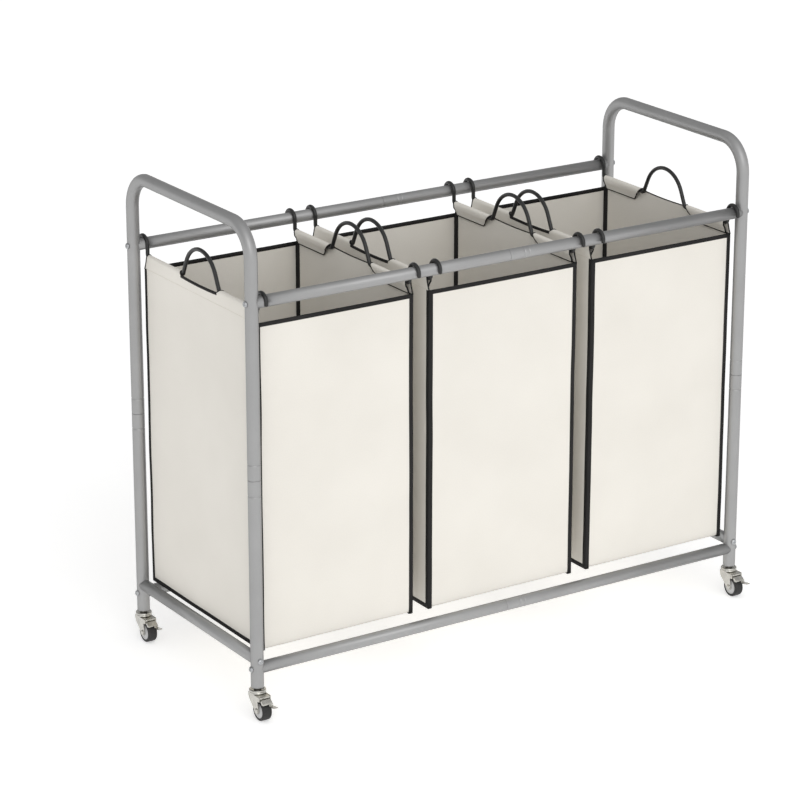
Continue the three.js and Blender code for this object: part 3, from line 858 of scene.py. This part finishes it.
def sleeve_ends(inward, z):
    """Where a sleeve half starts and stops along Y at one place of its section."""
    crest = ROD_Z + SLEEVE_LOOP
    fallen = max(0.0, min(1.0, (crest - z) / (crest - HEM_Z)))
    if inward <= 0:
        return NOTCH_END, SLEEVE_TOP_END + (HALF_DEPTH - SLEEVE_TOP_END) * fallen ** 1.5
    stop = SLEEVE_TOP_END + (SLEEVE_HEM_END - SLEEVE_TOP_END) * fallen
    if inward < SLEEVE_LOOP and z > SLEEVE_RISE_Z:
        risen = (z - SLEEVE_RISE_Z) / SLEEVE_LOOP
        return NOTCH_END + (LOOP_END - NOTCH_END) * risen, stop
    return LOOP_END + (FLAP_HEM_END - LOOP_END) * fallen, stop


def panel_sheet(end):
    """A side panel up to its hem, and the columns that its upper part carries on."""
    sheet = ClothSheet()
    inner_columns = steps_between(-NOTCH_END, NOTCH_END)
    outer_columns = steps_between(NOTCH_END, HALF_DEPTH)
    columns = [-y for y in reversed(outer_columns)] + inner_columns[1:-1] + outer_columns
    rows = [[(end * HALF_WIDTH, y, z) for y in columns] for z in steps_between(BOTTOM_Z, HEM_Z)]
    sheet.grid(rows, [[place[1:] for place in row] for row in rows])
    return sheet, inner_columns, outer_columns


def side_sheet(end):
    """A side panel with its two sleeve halves and the notch between them."""
    sheet, inner_columns, outer_columns = panel_sheet(end)
    outer = end * HALF_WIDTH
    profile = sleeve_profile()
    shares = [i / (len(outer_columns) - 1) for i in range(len(outer_columns))]
    for side in (-1, 1):
        rows, patterns = [], []
        for (inward, z), length in zip(profile, run_lengths(profile)):
            low, high = sleeve_ends(inward, z)
            ys = sorted(side * (low + (high - low) * share) for share in shares)
            rows.append([(outer - end * inward, y, z) for y in ys])
            patterns.append([(y, HEM_Z + length) for y in ys])
        sheet.grid(rows, patterns)
    rows = [[(outer, y, HEM_Z + (notch_height(y) - HEM_Z) * share) for y in inner_columns]
            for share in SLEEVE_ROWS]
    sheet.grid(rows, [[place[1:] for place in row] for row in rows])
    return sheet


# ---------- how the cloth hangs ----------

HANG_FRAMES = 22
HANG_LIMIT = 0.005
SLEEVE_HOLD = 1.0
TOP_HOLD = 0.7
SEAM_HOLD = 0.85
NEAR = 0.0005
SEAM_SHARE = 0.3
SEAM_FADE = 0.045
RIPPLE_FADE = 0.15
BROAD_RIPPLE = 0.0011
FINE_RIPPLE = 0.0005
CLOTH_SETTINGS = {
    "quality": 6,
    "mass": 0.12,
    "air_damping": 3,
    "tension_stiffness": 60,
    "compression_stiffness": 30,
    "shear_stiffness": 15,
    "bending_stiffness": 6,
    "vertex_group_mass": "held",
}


def sewn_shell():
    """The whole bag below its hems as one mesh, for the simulation."""
    shell = band_sheet()
    for _, end in ENDS:
        panel, _, _ = panel_sheet(end)
        order = [shell.vertex(position, (0, 0)) for position in panel.verts]
        shell.faces.extend(tuple(order[i] for i in face) for face in panel.faces)
    return shell


def seam_hold(place):
    """How firmly the simulation holds a place of the shell: by its hems and its seams."""
    on_side = abs(place.x) > HALF_WIDTH - NEAR
    on_face = abs(place.y) > HALF_DEPTH - NEAR
    at_foot = place.z < BOTTOM_Z + NEAR
    if place.z > HEM_Z - NEAR:
        return SLEEVE_HOLD if on_side else TOP_HOLD
    return SEAM_HOLD if on_side + on_face + at_foot > 1 else 0.0


def hang_cloth():
    """Hangs the sewn bag from its hems under gravity. Returns its taut places as a search tree,
    and how far the cloth settles from each."""
    scene = bpy.context.scene
    shell = sewn_shell()
    mesh = bpy.data.meshes.new("hanging")
    mesh.from_pydata(shell.verts, [], shell.faces)
    piece = bpy.data.objects.new("hanging", mesh)
    scene.collection.objects.link(piece)
    held = piece.vertex_groups.new(name="held")
    for index, place in enumerate(shell.verts):
        hold = seam_hold(place)
        if hold > 0:
            held.add([index], hold, "REPLACE")
    cloth = piece.modifiers.new("cloth", "CLOTH")
    for name, value in CLOTH_SETTINGS.items():
        setattr(cloth.settings, name, value)
    cloth.collision_settings.use_collision = False
    cloth.point_cache.frame_start = 1
    cloth.point_cache.frame_end = HANG_FRAMES
    for number in range(1, HANG_FRAMES + 1):
        scene.frame_set(number)
    settled = piece.evaluated_get(bpy.context.evaluated_depsgraph_get()).data
    shifts = []
    tree = KDTree(len(shell.verts))
    for index, (taut, now) in enumerate(zip(shell.verts, settled.vertices)):
        shift = now.co - taut
        if shift.length > HANG_LIMIT:
            shift *= HANG_LIMIT / shift.length
        shifts.append(shift)
        tree.insert(taut, index)
    tree.balance()
    bpy.data.objects.remove(piece)
    scene.frame_set(1)
    return tree, shifts


def ripple(place, number):
    """The slow ripples in one bag's walls, as a shift."""
    where = Vector((place.x * 7 + number * 3.1, place.y * 7 - number * 1.7, place.z * 5 + number))
    made = noise.noise_vector(where) * BROAD_RIPPLE + noise.noise_vector(where * 2.7) * FINE_RIPPLE
    across = abs(place.x) / HALF_WIDTH
    along = abs(place.y) / HALF_DEPTH
    return Vector((made.x * across, -abs(made.y) * math.copysign(along, place.y), 0))


def hanging_form(number, origin, hang):
    """A function from a place on the taut bag to its place on this bag. The bags share one
    simulation, turned end for end or side for side, and each has ripples of its own."""
    tree, shifts = hang
    turn = Vector((-1 if number == 1 else 1, -1 if number == 2 else 1, 1))

    def settle(place):
        place = Vector(place)
        near = tree.find_n(place * turn, 3)
        weights = [1 / (distance + NEAR) for _, _, distance in near]
        shift = Vector()
        for (_, index, _), weight in zip(near, weights):
            shift += shifts[index] * weight
        shift = shift / sum(weights) * turn
        edges = (HALF_WIDTH - abs(place.x), HALF_DEPTH - abs(place.y), place.z - BOTTOM_Z)
        room = max(0.0, sorted(edges)[1])
        shift *= min(1.0, SEAM_SHARE + (1 - SEAM_SHARE) * room / SEAM_FADE)
        free = max(0.0, min(1.0, (HEM_Z - place.z) / RIPPLE_FADE))
        return place + shift + ripple(place, number) * free + origin

    return settle


def cloth_piece(name, sheet, settle, body, replaced=()):
    piece = make_piece(name, [settle(vert) for vert in sheet.verts], sheet.faces, CANVAS, body,
                       replaced, "canvas")
    set_cloth_uv(piece, lambda index: sheet.flat[index])
    add_modifier(piece, "SOLIDIFY", thickness=CLOTH_THICKNESS, offset=0)
    add_modifier(piece, "SUBSURF", levels=1, render_levels=1)
    return piece


# ---------- bindings and stitches ----------

HEM_CORD = 0.0009
EDGE_CORD = 0.0013
CORD_SIDES = 8
NOTCH_CELL = 0.004
STITCH_PITCH = 0.0036
STITCH_LENGTH = 0.0024
STITCH_RADIUS = 0.0003


def ring_faces(rings, count, flip=False):
    faces = []
    for ring in range(rings - 1):
        low = ring * count
        for i in range(count):
            j = (i + 1) % count
            faces.append((low + i, low + j, low + count + j, low + count + i))
    faces.append(tuple(reversed(range(count))))
    faces.append(tuple((rings - 1) * count + i for i in range(count)))
    return [tuple(reversed(face)) for face in faces] if flip else faces


def tape_piece(name, verts, faces, count, body):
    """A tape swept along a path, with flat places along the path and round its section."""
    piece = make_piece(name, verts, faces, TAPE, body)
    places = [vertex.co.copy() for vertex in piece.data.vertices]
    along, across = [0.0], [0.0]
    for ring in range(count, len(places), count):
        along.append(along[-1] + (places[ring] - places[ring - count]).length)
    for i in range(1, count):
        across.append(across[-1] + (places[i] - places[i - 1]).length)
    set_cloth_uv(piece, lambda index: (across[index % count], along[index // count]))
    return piece


def cord_tape(name, points, radius, body, side):
    verts, faces = sweep(points, [round_section(radius, CORD_SIDES)] * len(points), side)
    return tape_piece(name, verts, faces, CORD_SIDES, body)


def path_normals(path):
    """Which way is out at each place of the band's path."""
    made = []
    for y, z in path:
        normal = Vector((0, 0, 0))
        if abs(y) > HALF_DEPTH - 1e-6:
            normal.y = math.copysign(1, y)
        if z < BOTTOM_Z + 1e-6:
            normal.z = -1
        made.append(normal)
    return made


def corner_tapes(bag, end_name, end, settle, body):
    """The bindings of one seam between band and side panel, outside and inside the bag."""
    path = band_path()
    edge = [Vector((end * HALF_WIDTH, y, z)) for y, z in path]
    t, skin = TAPE_THICKNESS, CLOTH_THICKNESS / 2
    front, flank, inner = TAPE_FRONT_WIDTH, TAPE_SIDE_WIDTH, TAPE_INSIDE_WIDTH
    outside = [(t, -front), (t * 1.2, -front / 2), (t, -t * 0.2), (t * 0.7, t * 0.7), (-t * 0.2, t),
               (-flank / 2, t * 1.2), (-flank, t), (-flank, 0), (-t, 0), (0, -t), (0, -front)]
    inside = [(-skin, -0.0030), (-skin - t, -0.0030), (-skin - 1.6 * t, -skin - 1.6 * t),
              (-inner / 2, -skin - t * 1.2), (-inner, -skin - t), (-inner, -skin), (-skin, -skin)]
    made = []
    for name, section, flip in (("corner_tape", outside, end < 0), ("inner_tape", inside, end > 0)):
        verts = []
        for point, normal in zip(edge, path_normals(path)):
            verts.extend(settle(point + normal * a + X * (end * b)) for a, b in section)
        faces = ring_faces(len(edge), len(section), flip)
        made.append(tape_piece(f"{name}_{bag}_{end_name}", verts, faces, len(section), body))
    return made


def top_tape(bag, side_name, side, settle, body):
    """The binding folded over the top edge of a front or rear panel."""
    line = [settle((x, side * HALF_DEPTH, PANEL_TOP_Z))
            for x in steps_between(-HALF_WIDTH, HALF_WIDTH)]
    h, w = TOP_TAPE_HEIGHT, 0.0010
    section = [(0.0002, -w * 0.6), (0.0007, 0), (0.0002, w * 0.6), (-0.0008, w * 0.9), (-h / 2, w),
               (-h, w * 0.8), (-h, -w * 0.8), (-h / 2, -w), (-0.0008, -w * 0.9)]
    verts, faces = sweep(line, [section] * len(line), Z)
    return tape_piece(f"top_tape_{bag}_{side_name}", verts, faces, len(section), body)


def sleeve_tapes(bag, end_name, end, settle, body):
    """Edge binding of one side panel: hems, sleeve ends and notch."""
    def place(inward, y, z):
        return settle((end * (HALF_WIDTH - inward), y, z))

    profile = sleeve_profile()
    hem_in, hem_z = profile[-1]
    made = []
    for side_name, side in SIDES:
        corner = f"{bag}_{side_name}_{end_name}"
        hem = [place(hem_in + 0.0006, side * y, hem_z)
               for y in steps_between(FLAP_HEM_END, SLEEVE_HEM_END)]
        made.append(cord_tape(f"hem_{corner}", hem, HEM_CORD, body, X))
        outer = [place(inward, side * sleeve_ends(inward, z)[1], z) for inward, z in profile]
        made.append(cord_tape(f"sleeve_end_{corner}", outer, EDGE_CORD, body, Y))
        lip = [place(inward, side * sleeve_ends(inward, z)[0], z)
               for inward, z in profile[len(SLEEVE_ROWS) - 1:]]
        made.append(cord_tape(f"flap_end_{corner}", lip, EDGE_CORD, body, Y))
    notch = [place(0, -end * y, notch_height(y))
             for y in steps_between(-NOTCH_END, NOTCH_END, NOTCH_CELL)]
    section = [(-0.0009, -0.0008), (-0.0009, 0.0004), (0, 0.0010), (0.0010, 0.0004),
               (0.0012, -0.0019), (0.0010, -0.0040), (0.0003, -0.0040), (0, -0.0010)]
    verts, faces = sweep(notch, [section] * len(notch), X * end)
    made.append(tape_piece(f"notch_tape_{bag}_{end_name}", verts, faces, len(section), body))
    return made


def sleeve_stitches(bag, end_name, end, settle, body):
    """The row of thread that closes one sleeve, on the outside of its side panel."""
    verts, faces = [], []
    proud = X * (end * (CLOTH_THICKNESS / 2 + SEAT_GAP))
    sections = [round_section(STITCH_RADIUS * share, 6) for share in (0.3, 1, 1, 0.3)]
    reach = HALF_DEPTH - TAPE_SIDE_WIDTH - STITCH_PITCH
    for y in steps_between(-reach, reach, STITCH_PITCH):
        seam = settle((end * HALF_WIDTH, y, HEM_Z + 0.0012)) + proud
        points = [seam + Y * (STITCH_LENGTH * share) for share in (-0.5, -0.3, 0.3, 0.5)]
        sweep(points, sections, X, (verts, faces))
    piece = make_piece(f"stitches_{bag}_{end_name}", verts, faces, THREAD, body)
    places = [vertex.co.copy() for vertex in piece.data.vertices]
    set_cloth_uv(piece, lambda index: places[index].yz)
    return piece


def build_bags():
    hang = hang_cloth()
    band_cut, band_length = band_sheet(), run_lengths(band_path())[-1]
    sleeve_length = run_lengths(sleeve_profile())[-1]
    for number, bag in enumerate(("left", "middle", "right")):
        body = f"bag_{bag}"
        origin = Vector((middle(f"bag_{bag}_fabric").x, CENTRE_Y, 0))
        settle = hanging_form(number, origin, hang)
        band = cloth_piece(f"band_{bag}", band_cut, settle, body, [f"bag_{bag}_fabric"])
        tapes = [top_tape(bag, side_name, side, settle, body) for side_name, side in SIDES]
        for end_name, end in ENDS:
            build_rod(bag, end_name, origin.x + end * ROD_X)
            cut = side_sheet(end)
            panel = cloth_piece(f"side_panel_{bag}_{end_name}", cut, settle, body)
            tapes += corner_tapes(bag, end_name, end, settle, body)
            edging = sleeve_tapes(bag, end_name, end, settle, body)
            edging.append(sleeve_stitches(bag, end_name, end, settle, body))
            cut.area()
            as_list(edging)


# ---------- stage ----------

CAMERA_AZIMUTH = -32.9026
CAMERA_ELEVATION = 19.023
CAMERA_DISTANCE = 5.5506
CAMERA_TARGET = Vector((-0.0874, CENTRE_Y, 0.4210))
CAMERA_LENS = 144.7077
SENSOR_WIDTH = 36
FLOOR_REACH = 14.0
FLOOR_GLOW = 0.42
BACKDROP_STRENGTH = 1.05
BACKDROP_TOP = 0.2
BACKDROP_FADE = 0.06
SKY_BASE = 0.42
SOFTBOX_STRENGTH = 0.85
SOFTBOX_FROM = Vector((-0.18, -0.86, 0.46)).normalized()
SUN_STRENGTH = 0.35
SUN_ANGLE = math.radians(35)
SUN_FROM = Vector((-0.28, -0.77, 0.57))


def build_camera():
    azimuth, elevation = math.radians(CAMERA_AZIMUTH), math.radians(CAMERA_ELEVATION)
    level = math.cos(elevation)
    back = Vector((math.sin(azimuth) * level, -math.cos(azimuth) * level, math.sin(elevation)))
    data = bpy.data.cameras.new("camera")
    data.lens = CAMERA_LENS
    data.sensor_width = SENSOR_WIDTH
    camera = bpy.data.objects.new("camera", data)
    camera.location = CAMERA_TARGET + back * CAMERA_DISTANCE
    camera.rotation_mode = "QUATERNION"
    camera.rotation_quaternion = (-back).to_track_quat("-Z", "Y")
    bpy.context.scene.collection.objects.link(camera)
    bpy.context.scene.camera = camera


def build_floor():
    signs = ((-1, -1), (1, -1), (1, 1), (-1, 1))
    mesh = bpy.data.meshes.new("floor")
    mesh.from_pydata([(FLOOR_REACH * x, FLOOR_REACH * y, 0) for x, y in signs], [], [(0, 1, 2, 3)])
    material, tree, shader = node_material("pale_floor")
    tint = noise_node(tree, 2.5, 2)
    colour = ramp_node(tree, tint, grey(0.88), grey(0.90), 0.2, 0.8)
    tree.links.new(colour, shader.inputs["Base Color"])
    shader.inputs["Roughness"].default_value = 0.9
    shader.inputs["Specular IOR Level"].default_value = 0.0
    shader.inputs["Emission Color"].default_value = (1, 1, 1, 1)
    shader.inputs["Emission Strength"].default_value = FLOOR_GLOW
    mesh.materials.append(material)
    floor = bpy.data.objects.new("floor", mesh)
    bpy.context.scene.collection.objects.link(floor)


def build_sky():
    """A studio surround: an even room with one very large soft box in front, and a white
    backdrop up to a little above the horizon."""
    world = bpy.data.worlds.new("studio")
    world.use_nodes = True
    tree = world.node_tree
    direction = tree.nodes.new("ShaderNodeTexCoord").outputs["Generated"]
    split = tree.nodes.new("ShaderNodeSeparateXYZ")
    tree.links.new(direction, split.inputs["Vector"])
    facing = tree.nodes.new("ShaderNodeVectorMath")
    facing.operation = "DOT_PRODUCT"
    tree.links.new(direction, facing.inputs[0])
    facing.inputs[1].default_value = SOFTBOX_FROM
    toward = math_node(tree, "MAXIMUM", facing.outputs["Value"], 0.0)
    spread = math_node(tree, "POWER", toward, 2.0)
    room = math_node(tree, "ADD", math_node(tree, "MULTIPLY", spread, SOFTBOX_STRENGTH), SKY_BASE)
    below = math_node(tree, "SUBTRACT", BACKDROP_TOP, split.outputs["Z"])
    rising = math_node(tree, "MULTIPLY", below, BACKDROP_STRENGTH / BACKDROP_FADE)
    backdrop = math_node(tree, "MINIMUM", rising, BACKDROP_STRENGTH)
    strength = math_node(tree, "MAXIMUM", room, backdrop)
    tree.nodes["Background"].inputs["Color"].default_value = (1, 1, 1, 1)
    tree.links.new(strength, tree.nodes["Background"].inputs["Strength"])
    bpy.context.scene.world = world


def build_sun():
    data = bpy.data.lights.new("soft_sun", "SUN")
    data.energy = SUN_STRENGTH
    data.angle = SUN_ANGLE
    light = bpy.data.objects.new("soft_sun", data)
    light.rotation_mode = "QUATERNION"
    light.rotation_quaternion = (-SUN_FROM).to_track_quat("-Z", "Y")
    bpy.context.scene.collection.objects.link(light)


def build_stage():
    build_floor()
    build_sky()
    build_sun()
    bpy.context.scene.view_settings.view_transform = "Standard"


build_camera()
build_stage()
build_frame()
build_bolts()
build_casters()
build_bags()
